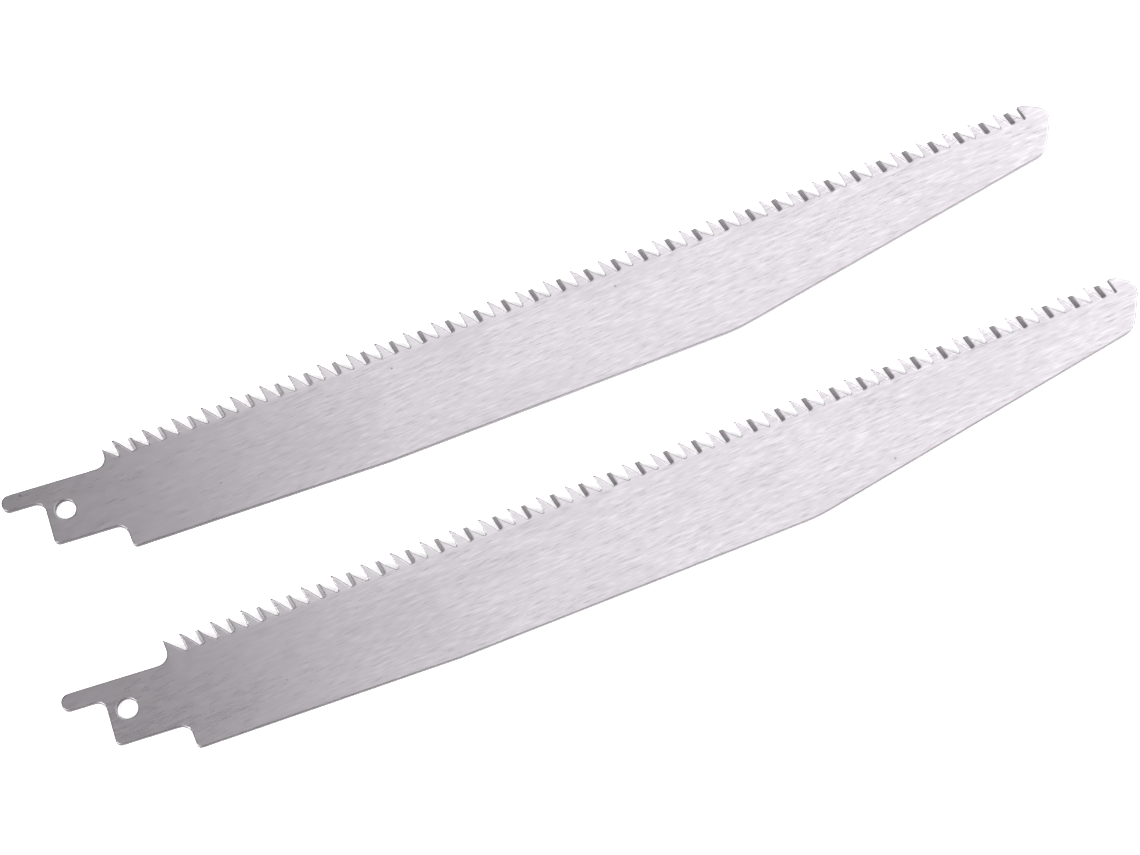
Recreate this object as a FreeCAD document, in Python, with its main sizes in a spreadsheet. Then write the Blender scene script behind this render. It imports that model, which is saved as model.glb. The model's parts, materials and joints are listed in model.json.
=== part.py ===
import FreeCAD, Part
import math
import os
import Sketcher

# A pair of reciprocating saw blades, each one flat steel blank with alternately set teeth.
# Blade frame: origin at the centre of the shank hole, X along the tooth line towards the
# nose, Y from the back edge to the teeth, Z through the thickness. Lengths are in mm.

SIZES = {
    "blade_thick": 1.15,       # sheet thickness
    "shank_top": 6.25,         # the shank's edges above and below the hole centre
    "shank_low": 6.45,
    "shank_turn": 4.2,         # shank axis dips towards the nose by this angle, degrees
    "shank_root": 14.7,        # how far the shank runs inside the blade
    "tongue_end": 11.7,        # hole centre to the end of the tongue
    "tongue_low": 2.94,        # lower edge of the tongue above the hole centre
    "notch_face": 3.75,        # hole centre back to the notch face
    "hole_radius": 2.0,        # shank hole
    "step_front": 10.45,       # front of the step up to the first tooth
    "heel_front": 9.8,         # front of the heel below the shank
    "heel_low": 12.34,         # heel corner below the hole centre
    "bend_along": 63.0,        # where the back edge stops falling
    "back_low": 14.65,         # straight back edge below the hole centre
    "knee_along": 140.4,       # where the back edge starts to rise to the nose
    "nose_low_ahead": 0.18,    # lower nose corner past the last pitch, before rounding
    "nose_low": 2.2,
    "nose_top_ahead": 6.13,    # upper nose corner past the last pitch, before rounding
    "nose_top": 6.94,
    "shoulder_back": 1.37,     # last tip to the shoulder of the nose
    "shoulder_drop": 0.21,
    "pitch": 3.12,             # one tooth to the next
    "teeth_each_way": 33,      # set teeth on each side
    "tooth_base": 6.67,        # gullet floor above the hole centre
    "tooth_rise": 3.50,        # gullet floor to tip
    "tooth_hook": 0.415,        # the tip leans this far back over its gullet
    "tip_land": 0.39,          # flat at the tip
    "knee_ahead": 0.80,        # change of slope on the tooth's back
    "knee_rise": 2.65,
    "gullet_round": 0.315,     # radius at the gullet floor
    "gullet_back": 0.27,       # gullet floor's lowest point behind the tooth's origin
    "root_lap": 0.05,          # overlap of a tooth with the blank
    "set_turn": 6.5,           # a set tooth is bent out of the sheet by this angle, degrees
    "bevel_cut": 0.52,         # on the ground face the leading edge lies this much further ahead
    "bevel_drop": 0.52,        # and the tip this much lower
    "bevel_tip": 0.17,         # flat left at the tip on the ground face
    "bevel_knee_ahead": 0.79,  # change of slope of the ground back
    "bevel_knee_rise": 2.04,
    "first_slope": 1.05,       # back slope of the first tooth
    "first_tip_lean": 0.16,    # lean of the first tooth's front
    "foot_back": 0.44,         # foot of a plain tooth's back behind the next tooth's origin
    "foot_rise": 0.13,
    "last_foot_ahead": 0.08,   # foot of the last tooth's front
    "last_foot_rise": 0.32,
    "last_tip_drop": 0.12,     # the last tip is this much below the others
    "round_tongue_top": 1.6,
    "round_tongue_low": 1.37,
    "round_notch": 2.0,
    "round_hook": 1.05,
    "round_shank_low": 2.1,
    "round_heel": 1.0,
    "round_shank_top": 2.3,
    "round_knee": 38.0,
    "round_nose_low": 4.8,
    "round_nose_top": 2.75,
    "first_gullet_a": 13.39,   # origin of the second tooth on blade a
    "first_gullet_b": 14.30,   # and on blade b, whose strip was cut at another place
    "gap_along": -2.19,        # hole of blade b from the hole of blade a
    "gap_across": -42.75,
    "gap_turn": -0.34,         # blade b lies at this angle to blade a, degrees
}

os.makedirs("parts", exist_ok=True)
doc = FreeCAD.newDocument("saw_blades")
sheet = doc.addObject("Spreadsheet::Sheet", "dims")
for row, (word, value) in enumerate(SIZES.items(), start=1):
    sheet.set("A%d" % row, word)
    sheet.set("B%d" % row, str(value))
    sheet.setAlias("B%d" % row, word)
doc.recompute()

VALUE = dict(SIZES)


def evaluate(text):
    """Work out a sum of sheet words, so that a sketch starts where its constraints put it."""
    total = 0.0
    for term in text.replace("-", "+-").split("+"):
        term = term.strip()
        if not term:
            continue
        product = 1.0
        if term.startswith("-"):
            product = -1.0
            term = term[1:].strip()
        for factor in term.split("*"):
            factor = factor.strip()
            product *= VALUE[factor] if factor in VALUE else float(factor)
        total += product
    return total


def bound(text):
    """Write the same sum as an expression on the sheet."""
    pieces = []
    for term in text.replace("-", "+-").split("+"):
        term = term.strip()
        if not term:
            continue
        sign = ""
        if term.startswith("-"):
            sign = "-"
            term = term[1:].strip()
        factors = []
        for factor in term.split("*"):
            factor = factor.strip()
            factors.append("dims." + factor if factor in VALUE else factor)
        pieces.append(sign + " * ".join(factors))
    return " + ".join(pieces).replace("+ -", "- ")


def origin_feature(body, role):
    for item in body.Origin.OriginFeatures:
        if item.Role == role:
            return item
    raise RuntimeError("no origin feature " + role)


def new_sketch(body, name):
    sketch = body.newObject("Sketcher::SketchObject", name)
    sketch.AttachmentSupport = [(origin_feature(body, "XY_Plane"), "")]
    sketch.MapMode = "FlatFace"
    return sketch


def pin_point(sketch, geometry, end, across, up, word):
    """Hold one point of a sketch at two sums of sheet words from the origin."""
    index = sketch.addConstraint(
        Sketcher.Constraint("DistanceX", -1, 1, geometry, end, evaluate(across)))
    sketch.renameConstraint(index, word + "_x")
    sketch.setExpression("Constraints." + word + "_x", bound(across))
    index = sketch.addConstraint(
        Sketcher.Constraint("DistanceY", -1, 1, geometry, end, evaluate(up)))
    sketch.renameConstraint(index, word + "_y")
    sketch.setExpression("Constraints." + word + "_y", bound(up))


def outline(sketch, corners):
    """Draw a closed outline through named corners, each given as (word, x sum, y sum)."""
    spots = [FreeCAD.Vector(evaluate(c[1]), evaluate(c[2]), 0) for c in corners]
    count = len(spots)
    for i in range(count):
        sketch.addGeometry(Part.LineSegment(spots[i], spots[(i + 1) % count]), False)
    for i in range(count):
        sketch.addConstraint(Sketcher.Constraint("Coincident", i, 2, (i + 1) % count, 1))
    for i, (word, across, up) in enumerate(corners):
        pin_point(sketch, i, 1, across, up, word)


def upright_edge(shape, x, y):
    """Name of the upright edge of a plate that passes through a point of its outline."""
    for number, edge in enumerate(shape.Edges, start=1):
        low, high = edge.Vertexes[0].Point, edge.Vertexes[-1].Point
        if abs(low.z - high.z) < 0.1 or math.hypot(low.x - high.x, low.y - high.y) > 1e-6:
            continue
        if math.hypot(low.x - x, low.y - y) < 0.03:
            return "Edge%d" % number
    raise RuntimeError("no upright edge at %.2f, %.2f" % (x, y))


def shank_to_blade(x, y):
    """A point of the turned shank, in the blade frame."""
    turn = math.radians(-VALUE["shank_turn"])
    return (x * math.cos(turn) - y * math.sin(turn), x * math.sin(turn) + y * math.cos(turn))


def shank_edge_at(level, x):
    """Height in the blade frame of a shank edge at a station along the blade."""
    turn = math.radians(-VALUE["shank_turn"])
    return (level + x * math.sin(turn)) / math.cos(turn)


def round_corner(body, base, word, x, y):
    fillet = body.newObject("PartDesign::Fillet", word)
    fillet.Base = (base, [upright_edge(base.Shape, x, y)])
    fillet.Radius = VALUE[word]
    fillet.setExpression("Radius", "dims." + word)
    body.Tip = fillet
    doc.recompute()
    return fillet


def tangent_spot(point, centre, radius, side):
    """Where a line from a point touches a circle, on the given side (+1 or -1)."""
    gap = centre - point
    reach = gap.Length
    lean = math.asin(radius / reach)
    length = math.sqrt(reach * reach - radius * radius)
    heading = math.atan2(gap.y, gap.x) + side * lean
    return FreeCAD.Vector(point.x + length * math.cos(heading), point.y + length * math.sin(heading), 0)


def tooth_sketch(body, name, first_gullet, way, face, ground):
    """Profile of one set tooth on one face of the sheet, turned about its gullet floor line.

    way is +1 for a tooth bent up and -1 for a tooth bent down, which stands one pitch on.
    face is +1 for the upper face and -1 for the lower one. ground is true on the face where
    the leading edge is ground back.
    """
    sketch = new_sketch(body, name)
    turn = math.radians(VALUE["set_turn"])
    start = VALUE[first_gullet] + (0.0 if way > 0 else VALUE["pitch"])
    half = face * VALUE["blade_thick"] / 2
    sketch.AttachmentOffset = FreeCAD.Placement(
        FreeCAD.Vector(start, VALUE["tooth_base"] - way * half * math.sin(turn), half * math.cos(turn)),
        FreeCAD.Rotation(FreeCAD.Vector(way, 0, 0), VALUE["set_turn"]))
    side = "dims.blade_thick / 2"
    sketch.setExpression("AttachmentOffset.Base.x", "dims." + first_gullet + ("" if way > 0 else " + dims.pitch"))
    sketch.setExpression("AttachmentOffset.Base.y", "dims.tooth_base %s %s * sin(dims.set_turn * 1 deg)" % (
        "-" if way * face > 0 else "+", side))
    sketch.setExpression("AttachmentOffset.Base.z", "%s%s * cos(dims.set_turn * 1 deg)" % (
        "" if face > 0 else "-", side))
    sketch.setExpression("AttachmentOffset.Rotation.Angle", "dims.set_turn * 1 deg")
    cut = " + bevel_cut" if ground else ""
    near_x = "-gullet_back" + cut
    far_x = "pitch - gullet_back"
    tip_x = "-tooth_hook" + cut
    tip_y = "tooth_rise - bevel_drop" if ground else "tooth_rise"
    land_x = tip_x + (" + bevel_tip" if ground else " + tip_land")

    def spot(across, up):
        return FreeCAD.Vector(evaluate(across), evaluate(up), 0)

    radius = VALUE["gullet_round"]
    knee_x = "bevel_knee_ahead" if ground else "knee_ahead"
    knee_y = "bevel_knee_rise" if ground else "knee_rise"
    tip, land, knee = spot(tip_x, tip_y), spot(land_x, tip_y), spot(knee_x, knee_y)
    near, far = spot(near_x, "gullet_round"), spot(far_x, "gullet_round")
    touch_near = tangent_spot(tip, near, radius, 1)
    touch_far = tangent_spot(knee, far, radius, -1)
    floor_near, floor_far = spot(near_x, "0"), spot(far_x, "0")
    deep_near, deep_far = spot(near_x, "-root_lap"), spot(far_x, "-root_lap")
    up = FreeCAD.Vector(0, 0, 1)
    sketch.addGeometry(Part.ArcOfCircle(
        Part.Circle(near, up, radius), -math.pi / 2,
        math.atan2(touch_near.y - near.y, touch_near.x - near.x)), False)
    sketch.addGeometry(Part.LineSegment(touch_near, tip), False)
    sketch.addGeometry(Part.LineSegment(tip, land), False)
    sketch.addGeometry(Part.LineSegment(land, knee), False)
    sketch.addGeometry(Part.LineSegment(knee, touch_far), False)
    sketch.addGeometry(Part.ArcOfCircle(
        Part.Circle(far, up, radius),
        math.atan2(touch_far.y - far.y, touch_far.x - far.x), -math.pi / 2), False)
    sketch.addGeometry(Part.LineSegment(floor_far, deep_far), False)
    sketch.addGeometry(Part.LineSegment(deep_far, deep_near), False)
    sketch.addGeometry(Part.LineSegment(deep_near, floor_near), False)
    for kind, first, second in (
            ("Tangent", 0, 1), ("Coincident", 1, 2), ("Coincident", 2, 3), ("Coincident", 3, 4),
            ("Tangent", 4, 5), ("Coincident", 5, 6), ("Coincident", 6, 7), ("Coincident", 7, 8),
            ("Coincident", 8, 0)):
        sketch.addConstraint(Sketcher.Constraint(kind, first, 2, second, 1))
    pin_point(sketch, 0, 3, near_x, "gullet_round", "near_centre")
    pin_point(sketch, 5, 3, far_x, "gullet_round", "far_centre")
    pin_point(sketch, 0, 1, near_x, "0", "near_floor")
    pin_point(sketch, 5, 2, far_x, "0", "far_floor")
    pin_point(sketch, 2, 1, tip_x, tip_y, "tip")
    pin_point(sketch, 3, 1, land_x, tip_y, "land")
    pin_point(sketch, 4, 1, knee_x, knee_y, "back_knee")
    pin_point(sketch, 7, 1, far_x, "-root_lap", "deep_far")
    pin_point(sketch, 8, 1, near_x, "-root_lap", "deep_near")
    return sketch


def plate(body, name, sketch):
    pad = body.newObject("PartDesign::Pad", name)
    pad.Profile = sketch
    pad.SideType = "Symmetric"
    pad.Length = VALUE["blade_thick"]
    pad.setExpression("Length", "dims.blade_thick")
    body.Tip = pad
    return pad


def tooth_row(body, name, first_gullet, way):
    """One set tooth, ground back on the face it is bent away from, at every second pitch."""
    upper = tooth_sketch(body, name + "_upper", first_gullet, way, 1, way < 0)
    lower = tooth_sketch(body, name + "_lower", first_gullet, way, -1, way > 0)
    tooth = body.newObject("PartDesign::AdditiveLoft", name)
    tooth.Profile = upper
    tooth.Sections = [lower]
    tooth.Ruled = True
    body.Tip = tooth
    doc.recompute()
    row = body.newObject("PartDesign::LinearPattern", name + "_row")
    row.Originals = [tooth]
    row.Direction = (origin_feature(body, "X_Axis"), [""])
    row.Mode = "Spacing"
    row.Offset = 2 * VALUE["pitch"]
    row.setExpression("Offset", "2 * dims.pitch")
    row.Occurrences = VALUE["teeth_each_way"]
    row.setExpression("Occurrences", "dims.teeth_each_way")
    body.Tip = row
    doc.recompute()
    return row


def make_blade(label, first_gullet):
    body = doc.addObject("PartDesign::Body", label)
    body.Label = label
    shank = new_sketch(body, "shank_outline_" + label)
    shank.AttachmentOffset = FreeCAD.Placement(
        FreeCAD.Vector(0, 0, 0), FreeCAD.Rotation(FreeCAD.Vector(0, 0, -1), VALUE["shank_turn"]))
    shank.setExpression("AttachmentOffset.Rotation.Angle", "dims.shank_turn * 1 deg")
    outline(shank, [
        ("tongue_top", "-tongue_end", "shank_top"),
        ("root_top", "shank_root", "shank_top"),
        ("root_low", "shank_root", "-shank_low"),
        ("hook", "-notch_face", "-shank_low"),
        ("notch", "-notch_face", "tongue_low"),
        ("tongue_under", "-tongue_end", "tongue_low"),
    ])
    plate(body, "shank_plate_" + label, shank)
    doc.recompute()
    blank = new_sketch(body, "blank_outline_" + label)
    last = first_gullet + " + 2*teeth_each_way*pitch"
    row_end = "step_front + pitch + 2*teeth_each_way*pitch"
    back_foot = first_gullet + " - foot_back"
    run = evaluate(back_foot) - evaluate("step_front + first_tip_lean")
    VALUE["first_rise_" + label] = VALUE["foot_rise"] + VALUE["first_slope"] * run
    row = len(VALUE) + 2
    sheet.set("A%d" % row, "first_rise_" + label)
    sheet.set("B%d" % row, "=foot_rise + first_slope * (%s - foot_back - step_front - first_tip_lean)" % first_gullet)
    sheet.setAlias("B%d" % row, "first_rise_" + label)
    doc.recompute()
    outline(blank, [
        ("step_low", "step_front", "0"),
        ("first_tip", "step_front + first_tip_lean", "tooth_base + first_rise_" + label),
        ("first_foot", back_foot, "tooth_base + foot_rise"),
        ("floor_first", first_gullet + " - gullet_back", "tooth_base"),
        ("floor_last", last + " - gullet_back", "tooth_base"),
        ("last_foot", last + " + last_foot_ahead", "tooth_base + last_foot_rise"),
        ("last_tip", last + " - tooth_hook", "tooth_base + tooth_rise - last_tip_drop"),
        ("shoulder", last + " - tooth_hook + shoulder_back",
         "tooth_base + tooth_rise - last_tip_drop - shoulder_drop"),
        ("nose_upper", row_end + " + nose_top_ahead", "nose_top"),
        ("nose_lower", row_end + " + nose_low_ahead", "-nose_low"),
        ("knee", "knee_along", "-back_low"),
        ("bend", "bend_along", "-back_low"),
        ("heel", "heel_front", "-heel_low"),
        ("heel_high", "heel_front", "0"),
    ])
    tip = plate(body, "blank_plate_" + label, blank)
    doc.recompute()
    high, low = VALUE["shank_top"], -VALUE["shank_low"]
    front = VALUE["heel_front"]
    top = evaluate("tooth_base + first_rise_" + label)
    step = VALUE["step_front"]
    for _ in range(20):
        step = VALUE["step_front"] + VALUE["first_tip_lean"] * shank_edge_at(high, step) / top
    corners = [
        ("round_tongue_top", shank_to_blade(-VALUE["tongue_end"], high)),
        ("round_tongue_low", shank_to_blade(-VALUE["tongue_end"], VALUE["tongue_low"])),
        ("round_notch", shank_to_blade(-VALUE["notch_face"], VALUE["tongue_low"])),
        ("round_hook", shank_to_blade(-VALUE["notch_face"], low)),
        ("round_shank_low", (front, shank_edge_at(low, front))),
        ("round_heel", (front, -VALUE["heel_low"])),
        ("round_shank_top", (step, shank_edge_at(high, step))),
        ("round_knee", (VALUE["knee_along"], -VALUE["back_low"])),
        ("round_nose_low", (evaluate(row_end + " + nose_low_ahead"), -VALUE["nose_low"])),
        ("round_nose_top", (evaluate(row_end + " + nose_top_ahead"), VALUE["nose_top"])),
    ]
    for word, (x, y) in corners:
        tip = round_corner(body, tip, word, x, y)
    circle = new_sketch(body, "hole_circle_" + label)
    circle.addGeometry(Part.Circle(FreeCAD.Vector(0, 0, 0), FreeCAD.Vector(0, 0, 1), VALUE["hole_radius"]), False)
    circle.addConstraint(Sketcher.Constraint("Coincident", 0, 3, -1, 1))
    index = circle.addConstraint(Sketcher.Constraint("Radius", 0, VALUE["hole_radius"]))
    circle.renameConstraint(index, "radius")
    circle.setExpression("Constraints.radius", "dims.hole_radius")
    before = tip.Shape.Volume
    hole = body.newObject("PartDesign::Pocket", "shank_hole_" + label)
    hole.Profile = circle
    hole.SideType = "Symmetric"
    hole.Length = 4 * VALUE["blade_thick"]
    hole.setExpression("Length", "4 * dims.blade_thick")
    body.Tip = hole
    doc.recompute()
    cut = before - hole.Shape.Volume
    want = math.pi * VALUE["hole_radius"] ** 2 * VALUE["blade_thick"]
    if abs(cut - want) > 0.01 * want:
        raise RuntimeError("the hole in %s cut %.3f, not %.3f" % (label, cut, want))
    tooth_row(body, "tooth_up_" + label, first_gullet, 1)
    tooth_row(body, "tooth_down_" + label, first_gullet, -1)
    return body


def rest_turn():
    """Angle at which a blade lies on its back edge and the tips of its downward teeth."""
    turn = math.radians(VALUE["set_turn"])
    half = VALUE["blade_thick"] / 2
    reach = VALUE["tooth_base"] + VALUE["tooth_rise"] * math.cos(turn) - half * math.sin(turn)
    drop = VALUE["tooth_rise"] * math.sin(turn) + half * math.cos(turn) - half
    return math.degrees(math.atan2(drop, reach + VALUE["back_low"]))


def lay_down(body, x, y, heading):
    """Place a blade on the ground plane with its hole centre at x, y."""
    tilt = FreeCAD.Rotation(FreeCAD.Vector(1, 0, 0), rest_turn())
    spin = FreeCAD.Rotation(FreeCAD.Vector(0, 0, 1), heading)
    body.Placement = FreeCAD.Placement(FreeCAD.Vector(x, y, 0), spin * tilt)
    doc.recompute()
    low = body.Shape.BoundBox.ZMin
    body.Placement = FreeCAD.Placement(FreeCAD.Vector(x, y, -low), spin * tilt)
    doc.recompute()


blade_a = make_blade("blade_a", "first_gullet_a")
blade_b = make_blade("blade_b", "first_gullet_b")
lay_down(blade_a, 0, 0, 0)
lay_down(blade_b, VALUE["gap_along"], VALUE["gap_across"], VALUE["gap_turn"])

whole = FreeCAD.BoundBox(blade_a.Shape.BoundBox)
whole.add(blade_b.Shape.BoundBox)
for body in (blade_a, blade_b):
    place = body.Placement
    spot = place.Base - FreeCAD.Vector(whole.Center.x, whole.Center.y, 0)
    body.Placement = FreeCAD.Placement(spot, place.Rotation)
doc.recompute()

for item in doc.Objects:
    if "Invalid" in item.State or "Error" in item.State:
        raise RuntimeError("%s is %s" % (item.Label, item.State))

for body in (blade_a, blade_b):
    shape = body.Shape
    if shape.isNull() or not shape.isValid() or len(shape.Solids) != 1:
        raise RuntimeError("%s is not one valid solid" % body.Label)
    box = shape.BoundBox
    print("%s volume %.1f x %.3f..%.3f y %.3f..%.3f z %.3f..%.3f hole at %.4f %.4f %.4f" % (
        body.Label, shape.Volume, box.XMin, box.XMax, box.YMin, box.YMax, box.ZMin, box.ZMax,
        body.Placement.Base.x, body.Placement.Base.y, body.Placement.Base.z))
    shape.exportStep("parts/%s.step" % body.Label)
print("rest turn %.4f" % rest_turn())
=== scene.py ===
"""Looks for a pair of reciprocating saw blades lying on a pale table.

The blades' shapes are the frame's own. This file gives them their brushed steel, and adds the
floor, the lights and the camera. Lengths are in metres.
"""

import json
import logging
import math
from dataclasses import dataclass
from enum import Enum
from typing import Any, Union

import bpy
import numpy as np
from mathutils import Euler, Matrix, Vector

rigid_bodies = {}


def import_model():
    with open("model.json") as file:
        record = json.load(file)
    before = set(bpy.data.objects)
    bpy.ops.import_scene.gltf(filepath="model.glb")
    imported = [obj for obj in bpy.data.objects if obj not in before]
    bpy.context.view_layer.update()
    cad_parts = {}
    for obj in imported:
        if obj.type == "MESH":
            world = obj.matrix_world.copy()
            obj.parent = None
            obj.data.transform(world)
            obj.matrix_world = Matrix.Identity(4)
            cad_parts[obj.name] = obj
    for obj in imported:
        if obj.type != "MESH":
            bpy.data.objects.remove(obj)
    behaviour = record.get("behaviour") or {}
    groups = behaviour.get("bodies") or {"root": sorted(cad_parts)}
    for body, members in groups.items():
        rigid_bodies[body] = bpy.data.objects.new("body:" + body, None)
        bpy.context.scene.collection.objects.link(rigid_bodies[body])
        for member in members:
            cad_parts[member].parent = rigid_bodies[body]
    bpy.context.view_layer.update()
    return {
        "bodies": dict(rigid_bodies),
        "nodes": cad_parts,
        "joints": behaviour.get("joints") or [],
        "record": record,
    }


LOG = logging.getLogger("saw_blades")

Number = Union[int, float]
Triple = tuple[float, float, float]
Colour = tuple[float, float, float, float]
Span = tuple[float, float]


class Grain(Enum):
    """How often a grinding pattern repeats along, across and through a blade, per metre."""

    FINE = (330.0, 3400.0, 600.0)
    LONG = (70.0, 1500.0, 300.0)
    SHORT = (420.0, 1700.0, 600.0)
    CLOUD = (38.0, 70.0, 70.0)
    PITS = (260.0, 260.0, 260.0)


class Wire:
    """A shader socket that can be added, multiplied and compared like a number."""

    def __init__(self, board: "Board", socket: bpy.types.NodeSocket) -> None:
        """Wrap a socket.

        Args:
            board: The node tree the socket belongs to.
            socket: An output socket.
        """
        self.board = board
        self.socket = socket

    def _sum(self, operation: str, first: Any, second: Any) -> "Wire":
        """Join two values with a Math node.

        Args:
            operation: The Math node's operation.
            first: A wire or a number.
            second: A wire or a number.

        Returns:
            The result as a wire.
        """
        return self.board.node("ShaderNodeMath", {"operation": operation}, {0: first, 1: second})

    def __add__(self, other: Any) -> "Wire":
        """Sum."""
        return self._sum("ADD", self, other)

    def __radd__(self, other: Any) -> "Wire":
        """Sum, from the right."""
        return self._sum("ADD", other, self)

    def __sub__(self, other: Any) -> "Wire":
        """Difference."""
        return self._sum("SUBTRACT", self, other)

    def __rsub__(self, other: Any) -> "Wire":
        """Difference, from the right."""
        return self._sum("SUBTRACT", other, self)

    def __mul__(self, other: Any) -> "Wire":
        """Product."""
        return self._sum("MULTIPLY", self, other)

    def __rmul__(self, other: Any) -> "Wire":
        """Product, from the right."""
        return self._sum("MULTIPLY", other, self)

    def __abs__(self) -> "Wire":
        """Size without the sign."""
        return self._sum("ABSOLUTE", self, 0.0)

    def part(self, axis: str) -> "Wire":
        """One component of a vector, by the name of its axis."""
        return self.board.node("ShaderNodeSeparateXYZ", {}, {0: self}, axis)

    def dot(self, other: "Wire") -> "Wire":
        """Dot product of two vectors."""
        return self.board.node(
            "ShaderNodeVectorMath", {"operation": "DOT_PRODUCT"}, {0: self, 1: other}, "Value"
        )

    def over(self, low: Number, high: Number) -> "Wire":
        """Rise smoothly from 0 at low to 1 at high.

        Args:
            low: Value that gives 0.
            high: Value that gives 1; it may be below low for a falling edge.

        Returns:
            The smooth step.
        """
        return self.board.node(
            "ShaderNodeMapRange",
            {"interpolation_type": "SMOOTHSTEP", "clamp": True},
            {"Value": self, "From Min": low, "From Max": high},
        )


class Board:
    """A material's node tree, written one node at a time."""

    def __init__(self, name: str) -> None:
        """Make an empty material.

        Args:
            name: The material's name.
        """
        self.material = bpy.data.materials.new(name)
        self.material.use_nodes = True
        self.tree = self.material.node_tree
        self.tree.nodes.clear()

    def node(
        self,
        kind: str,
        settings: dict[str, Any] | None = None,
        values: dict[Any, Any] | None = None,
        out: Union[int, str] = 0,
    ) -> Wire:
        """Add one node.

        Args:
            kind: The node's type.
            settings: Its own settings, set first.
            values: Numbers or wires for its sockets, by name or index.
            out: The output wanted.

        Returns:
            That output as a wire.
        """
        made = self.tree.nodes.new(kind)
        for key, value in (settings or {}).items():
            setattr(made, key, value)
        for key, value in (values or {}).items():
            if isinstance(value, Wire):
                self.tree.links.new(value.socket, made.inputs[key])
            else:
                made.inputs[key].default_value = value
        return Wire(self, made.outputs[out])

    def noise(self, where: Wire, scale: float, detail: float = 2.0, rough: float = 0.5) -> Wire:
        """Fractal noise from 0 to 1.

        Args:
            where: Vector wire.
            scale: Scale of the noise.
            detail: Octaves.
            rough: Strength of each finer octave.

        Returns:
            The noise as a value.
        """
        return self.node(
            "ShaderNodeTexNoise",
            {"noise_dimensions": "3D"},
            {"Vector": where, "Scale": scale, "Detail": detail, "Roughness": rough},
        )

    def blend(self, factor: Any, first: Any, second: Any) -> Wire:
        """Mix two colours.

        Args:
            factor: Wire or number, 0 for the first and 1 for the second.
            first: Colour or wire.
            second: Colour or wire.

        Returns:
            A colour wire.
        """
        return self.node(
            "ShaderNodeMix", {"data_type": "RGBA"}, {0: factor, 6: first, 7: second}, out=2
        )

    def finish(self, shader: Wire) -> bpy.types.Material:
        """Join a shader to the material's output.

        Args:
            shader: The shader.

        Returns:
            The finished material.
        """
        end = self.tree.nodes.new("ShaderNodeOutputMaterial")
        self.tree.links.new(shader.socket, end.inputs["Surface"])
        return self.material


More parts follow.
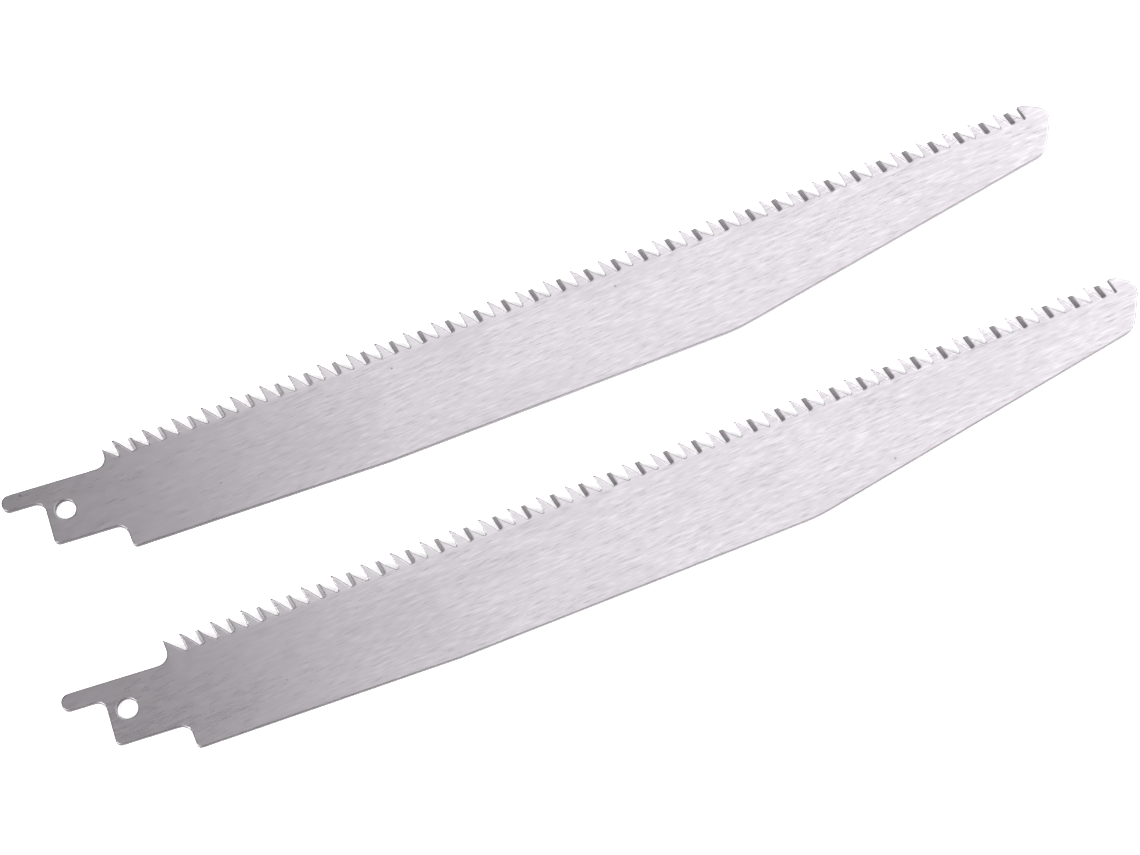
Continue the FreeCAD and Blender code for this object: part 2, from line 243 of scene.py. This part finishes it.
@dataclass(frozen=True)
class BrushedSteel:
    """Stainless sheet ground along the blade, with rolled edges, painted shade on its edges, and
    painted reflection, shade and highlight on its teeth.

    A pair of numbers below is a Span: where something begins and where it is complete.
    Distances along the blade are from the hole's centre.

    Attributes:
        name: The material's name.
        centre: A point in the middle of the sheet, the shank hole's centre.
        heading: The blade's direction about Z, in radians.
        seed: Offset that makes each blade's grinding marks its own.
        face: Colour of the flat faces.
        pale: Colour of the brighter grinding marks.
        worn: Colour of the darker grinding marks.
        shank_edge_shade: Colour of the cut and rolled edges at the shank, painted shade at its
            darkest.
        nose_edge_shade: Colour of those edges towards the nose, a lighter painted shade.
        nose_edge_shade: Colour of the ground edges towards the nose.
        front: Colour of the tooth fronts near the shank, a painted reflection.
        front_shade: Colour of the tooth fronts further on, painted shade.
        tooth: Colour of the painted highlight on the teeth.
        speck: Colour of the pits.
        gloss: Roughness of the flat faces.
        slant: Angle between the grinding marks and the blade, in radians.
        rim_width: Radius of the rolled edges.
        tooth_line: Heights at which the blank passes into its teeth.
        cut_face: How level a face still is (its normal's height) when it counts as cut.
        facing_back: How far a face looks towards the shank when it is a tooth front.
        bent: How far the rolled edge has turned when its painted shade shows.
        ground_from: Where the grinding marks set in, along the blade.
        ground_least: Strength of the grinding marks on the shank.
        edge_shade_fade: Where the painted shade on the edges lightens, along the blade.
        front_shade_from: Where the painted reflection on the tooth fronts gives way to painted
            shade.
        highlight_from: Where the painted highlight on the teeth begins.
        highlight_to: Where that fades out again.
        lit, dim: Heights of the grinding at which a mark turns brighter or darker.
        clouds: Heights of the broad clouding that show.
        pit_scale: How many places for a pit there are in a metre.
        pit_size: Size of a pit, as a share of the space it lies in.
        pit_share: Which of those places hold one.
        groove: Depth of the grinding marks.
        groove_strength: How much of that depth shows.
    """

    name: str
    centre: Triple
    heading: float = 0.0
    seed: float = 0.0
    face: Colour = (0.605, 0.573, 0.609, 1.0)
    pale: Colour = (0.715, 0.688, 0.725, 1.0)
    worn: Colour = (0.490, 0.460, 0.493, 1.0)
    shank_edge_shade: Colour = (0.110, 0.100, 0.108, 1.0)
    nose_edge_shade: Colour = (0.360, 0.340, 0.360, 1.0)
    front: Colour = (0.520, 0.495, 0.520, 1.0)
    front_shade: Colour = (0.230, 0.218, 0.228, 1.0)
    tooth: Colour = (0.730, 0.705, 0.735, 1.0)
    speck: Colour = (0.240, 0.210, 0.220, 1.0)
    gloss: float = 0.30
    slant: float = math.radians(2.5)
    rim_width: float = 0.00050
    tooth_line: Span = (0.00587, 0.00707)
    cut_face: Span = (0.93, 0.80)
    facing_back: Span = (0.55, 0.80)
    bent: Span = (0.02, 0.12)
    ground_from: Span = (0.012, 0.065)
    ground_least: float = 0.12
    edge_shade_fade: Span = (0.0, 0.15)
    front_shade_from: Span = (0.02, 0.09)
    highlight_from: Span = (0.012, 0.030)
    highlight_to: Span = (0.05, 0.16)
    lit: Span = (0.48, 0.66)
    dim: Span = (0.48, 0.34)
    clouds: Span = (0.42, 0.72)
    pit_scale: float = 190.0
    pit_size: Span = (0.060, 0.030)
    pit_share: Span = (0.60, 0.62)
    groove: float = 0.00005
    groove_strength: float = 0.45

    def lie(self, board: Board, turn: float) -> Wire:
        """Coordinates that lie along the blade: the piece's own, about the hole, turned back.

        Args:
            board: The node tree.
            turn: A further turn from the blade's own direction, in radians.

        Returns:
            A vector wire, in metres.
        """
        spot = board.node("ShaderNodeTexCoord", out="Object")
        turned = (0.0, 0.0, self.heading + turn)
        return board.node(
            "ShaderNodeMapping",
            {"vector_type": "TEXTURE"},
            {"Vector": spot, "Location": self.centre, "Rotation": turned},
        )

    def marks(self, board: Board, lying: Wire, grain: Grain, number: float) -> Wire:
        """Grinding marks: fractal noise drawn out along the blade.

        Args:
            board: The node tree.
            lying: Coordinates along the blade.
            grain: How long and how close together the marks are.
            number: Which set of marks this is.

        Returns:
            The marks' height, from 0 to 1.
        """
        shift = (self.seed + 11.0 * number, 3.0 * self.seed, 5.0 * number)
        drawn = board.node(
            "ShaderNodeVectorMath",
            {"operation": "MULTIPLY_ADD"},
            {0: lying, 1: grain.value, 2: shift},
        )
        return board.noise(drawn, 1.0, 2.0, 0.45)

    def pits(self, board: Board, straight: Wire) -> Wire:
        """Small round pits: the middles of a few cells of a cell pattern.

        Args:
            board: The node tree.
            straight: Coordinates straight along the blade.

        Returns:
            1 in a pit and 0 elsewhere.
        """
        spots = board.node(
            "ShaderNodeTexVoronoi",
            {"feature": "F1", "distance": "EUCLIDEAN"},
            {"Vector": straight, "Scale": self.pit_scale, "Randomness": 1.0},
        )
        rare = self.marks(board, straight, Grain.PITS, 4.0)
        return spots.over(*self.pit_size) * rare.over(*self.pit_share)

    def make(self) -> bpy.types.Material:
        """Write the finish as a material.

        Returns:
            The material.
        """
        board = Board(self.name)
        lying = self.lie(board, self.slant)
        straight = self.lie(board, 0.0)
        along, across = straight.part("X"), straight.part("Y")
        fine = self.marks(board, lying, Grain.FINE, 0.0)
        long = self.marks(board, lying, Grain.LONG, 1.0)
        short = self.marks(board, lying, Grain.SHORT, 2.0)
        cloud = self.marks(board, lying, Grain.CLOUD, 3.0)
        ground = fine * 0.50 + long * 0.20 + short * 0.30
        bite = along.over(*self.ground_from) * (1.0 - self.ground_least) + self.ground_least

        # The rolled edge is where the rounded normal leaves the face's own.
        normal = board.node("ShaderNodeNewGeometry", out="True Normal")
        rolled = board.node("ShaderNodeBevel", {"samples": 6}, {"Radius": self.rim_width})
        rim = (1.0 - normal.dot(rolled)).over(*self.bent)
        side = abs(normal.part("Z")).over(*self.cut_face)
        teeth = across.over(*self.tooth_line)
        fronts = (0.0 - normal.part("X")).over(*self.facing_back) * teeth
        root_highlight = along.over(*self.highlight_from) * (1.0 - along.over(*self.highlight_to) * 0.9) * 0.75

        bright = board.blend(ground.over(*self.lit) * bite, self.face, self.pale)
        streaked = board.blend(ground.over(*self.dim) * bite, bright, self.worn)
        clouded = board.blend(cloud.over(*self.clouds) * 0.20, streaked, self.worn)
        # Painted highlight on the teeth near the shank.
        highlighted_teeth = board.blend(teeth * root_highlight, clouded, self.tooth)
        # Painted shade on the cut and rolled edges: darkest at the shank, lighter towards the
        # nose.
        edge = board.blend(along.over(*self.edge_shade_fade), self.shank_edge_shade, self.nose_edge_shade)
        # Painted light on the tooth fronts: a painted reflection near the shank, painted shade
        # further on.
        painted_front_light = board.blend(along.over(*self.front_shade_from), self.front, self.front_shade)
        cut = board.blend(side, highlighted_teeth, board.blend(fronts, edge, painted_front_light))
        pitted = board.blend(self.pits(board, straight) * (1.0 - side) * 0.75, cut, self.speck)
        # The rolled edges take the painted edge shade, as thin dark lines along them.
        colour = board.blend(rim * (1.0 - side * 0.5) * 0.85, pitted, edge)
        uneven = (ground - 0.5) * 0.20 + (cloud - 0.5) * 0.10
        bump = board.node(
            "ShaderNodeBump",
            {},
            {
                "Strength": self.groove_strength,
                "Distance": self.groove,
                "Height": ground * bite,
                "Normal": rolled,
            },
            "Normal",
        )
        steel = {
            "Base Color": colour,
            "Metallic": 1.0,
            "Roughness": self.gloss + uneven + (side + rim) * 0.10,
            "Normal": bump,
        }
        return board.finish(board.node("ShaderNodeBsdfPrincipled", {}, steel))


@dataclass(frozen=True)
class PaleFloor:
    """Matt white table top, lit weakly from below, with a trace of mottling.

    Attributes:
        name: The material's name.
        white: Its colour.
        shade: Colour of the mottling.
        glow: How strongly the table is lit from below.
    """

    name: str = "floor_white"
    white: Colour = (0.93, 0.93, 0.93, 1.0)
    shade: Colour = (0.91, 0.91, 0.91, 1.0)
    glow: float = 0.55

    def make(self) -> bpy.types.Material:
        """Write the finish as a material.

        Returns:
            The material.
        """
        board = Board(self.name)
        spot = board.node("ShaderNodeTexCoord", out="Object")
        mottle = board.noise(spot, 9.0, 3.0, 0.5)
        colour = board.blend(mottle.over(0.35, 0.65) * 0.5, self.white, self.shade)
        matt = {
            "Base Color": colour,
            "Roughness": 0.9,
            "Emission Color": self.white,
            "Emission Strength": self.glow,
        }
        return board.finish(board.node("ShaderNodeBsdfPrincipled", {}, matt))


@dataclass
class Blade:
    """One saw blade: its CAD node and its finish.

    Attributes:
        node: The blade's node in the frame.
        heading: Its direction about Z, in radians.
        seed: Which grinding marks it has.
    """

    node: str
    heading: float
    seed: float

    def hole(self, record: dict[str, Any]) -> Triple:
        """The centre of the blade's shank hole, from the record's mounts."""
        wanted = "shank_hole_" + self.node[-1]
        return next(tuple(m["pos_m"]) for m in record["mounts"] if m["name"] == wanted)

    def dress(self, frame: dict[str, Any]) -> bpy.types.Object:
        """Give the blade its steel.


        Returns:
            The blade's object.
        """
        blade = frame["nodes"][self.node]
        hole = self.hole(frame["record"])
        steel = BrushedSteel("steel_" + self.node, hole, self.heading, self.seed)
        blade.data.materials.clear()
        blade.data.materials.append(steel.make())
        return blade


@dataclass(frozen=True)
class SoftBox:
    """A soft rectangular light.

    Attributes:
        name: The light's name.
        at: Its place.
        towards: The point it shines on.
        size: Its two sides.
        watts: Its power.
    """

    name: str
    at: Triple
    towards: Triple
    size: tuple[float, float]
    watts: float

    def hang(self) -> bpy.types.Object:
        """Hang the light.

        Returns:
            The light's object.
        """
        lamp = bpy.data.lights.new(self.name, "AREA")
        lamp.shape = "RECTANGLE"
        lamp.size, lamp.size_y = self.size
        lamp.energy = self.watts
        holder = bpy.data.objects.new(self.name, lamp)
        bpy.context.scene.collection.objects.link(holder)
        holder.location = self.at
        aim = Vector(self.towards) - Vector(self.at)
        holder.rotation_euler = aim.to_track_quat("-Z", "Y").to_euler()
        return holder


@dataclass
class Studio:
    """The pale floor, the soft lights and the camera.

    Attributes:
        floor_half: Half the floor's side.
        floor_drop: How far the floor lies under the teeth, so that nothing touches it.
        room_light: Strength of the even light from overhead.
        side_light: Strength of the even light from the sides.
        side_height: Sines of the elevations between which the second gives way to the first.
        boxes: The soft lights.
        camera_at: Where the camera stands.
        camera_turn: Its turns about X, Y and Z, in degrees.
        lens: Focal length in millimetres, on a 36 mm wide sensor.
    """

    floor_half: float = 3.0
    floor_drop: float = 0.00002
    room_light: float = 0.20
    side_light: float = 0.80
    side_height: Span = (0.34, 0.70)
    boxes: tuple[SoftBox, ...] = (
        SoftBox("near_softbox", (0.30, 0.45, 1.2), (0.30, 0.45, 0.0), (0.6, 1.6), 3.4),
        SoftBox("middle_softbox", (0.85, 0.45, 1.2), (0.85, 0.45, 0.0), (0.5, 1.6), 2.2),
        SoftBox("end_softbox", (1.45, 0.45, 1.2), (1.45, 0.45, 0.0), (0.7, 1.6), 21.5),
        SoftBox("table_softbox", (-1.2, -0.5, 1.0), (0.0, 0.0, 0.0), (0.8, 0.8), 37.0),
    )
    camera_at: Triple = (-0.092898, -0.143047, 0.42633)
    camera_turn: Triple = (21.516, -2.943, -23.383)
    lens: float = 71.249

    def lay_floor(self) -> bpy.types.Object:
        """Lay a flat square floor, a grid of two by two corners just under Z = 0.

        Returns:
            The floor.
        """
        side = np.array([-self.floor_half, self.floor_half])
        across, up = np.meshgrid(side, side, indexing="ij")
        corners = np.stack([across.ravel(), up.ravel(), np.full(4, -self.floor_drop)], axis=1)
        mesh = bpy.data.meshes.new("floor")
        mesh.from_pydata(corners.tolist(), [], [(0, 2, 3, 1)])
        mesh.materials.append(PaleFloor().make())
        floor = bpy.data.objects.new("floor", mesh)
        bpy.context.scene.collection.objects.link(floor)
        return floor

    def open_sky(self) -> bpy.types.World:
        """Surround the table with even white light, stronger from the sides than from overhead.

        Returns:
            The world.
        """
        world = bpy.data.worlds.new("studio")
        bpy.context.scene.world = world
        world.use_nodes = True
        tree = world.node_tree
        around = tree.nodes["Background"]
        around.inputs["Color"].default_value = (1.0, 1.0, 1.0, 1.0)
        heading = tree.nodes.new("ShaderNodeTexCoord")
        parts = tree.nodes.new("ShaderNodeSeparateXYZ")
        falling = tree.nodes.new("ShaderNodeMapRange")
        falling.interpolation_type = "SMOOTHSTEP"
        low, high = self.side_height
        limits = {"From Min": low, "From Max": high}
        limits |= {"To Min": self.side_light, "To Max": self.room_light}
        for socket, value in limits.items():
            falling.inputs[socket].default_value = value
        tree.links.new(heading.outputs["Generated"], parts.inputs[0])
        tree.links.new(parts.outputs["Z"], falling.inputs["Value"])
        tree.links.new(falling.outputs["Result"], around.inputs["Strength"])
        return world

    def light(self) -> None:
        """Open the sky and hang the soft lights."""
        self.open_sky()
        for box in self.boxes:
            box.hang()

    def stand_camera(self) -> bpy.types.Object:
        """Stand the camera.

        Returns:
            The camera.
        """
        lens = bpy.data.cameras.new("camera")
        lens.sensor_width = 36.0
        lens.lens = self.lens
        lens.clip_start, lens.clip_end = 0.01, 20.0
        camera = bpy.data.objects.new("camera", lens)
        bpy.context.scene.collection.objects.link(camera)
        camera.location = self.camera_at
        camera.rotation_euler = Euler([math.radians(a) for a in self.camera_turn], "XYZ")
        bpy.context.scene.camera = camera
        return camera


def main() -> None:
    """Load the frame, dress both blades and light them."""
    logging.basicConfig(level=logging.INFO, format="%(name)s: %(message)s")
    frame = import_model()
    pair = (Blade("blade_a", 0.0, 0.0), Blade("blade_b", math.radians(-0.34), 7.3))
    for blade in pair:
        made = blade.dress(frame)
        LOG.info("%s: %d faces, dressed in steel", made.name, len(made.data.polygons))
    studio = Studio()
    LOG.info("%s: laid", studio.lay_floor().name)
    studio.light()
    LOG.info("%s: standing, with %d soft lights", studio.stand_camera().name, len(studio.boxes))
    bpy.context.scene.view_settings.view_transform = "Standard"


if __name__ == "__main__":
    main()
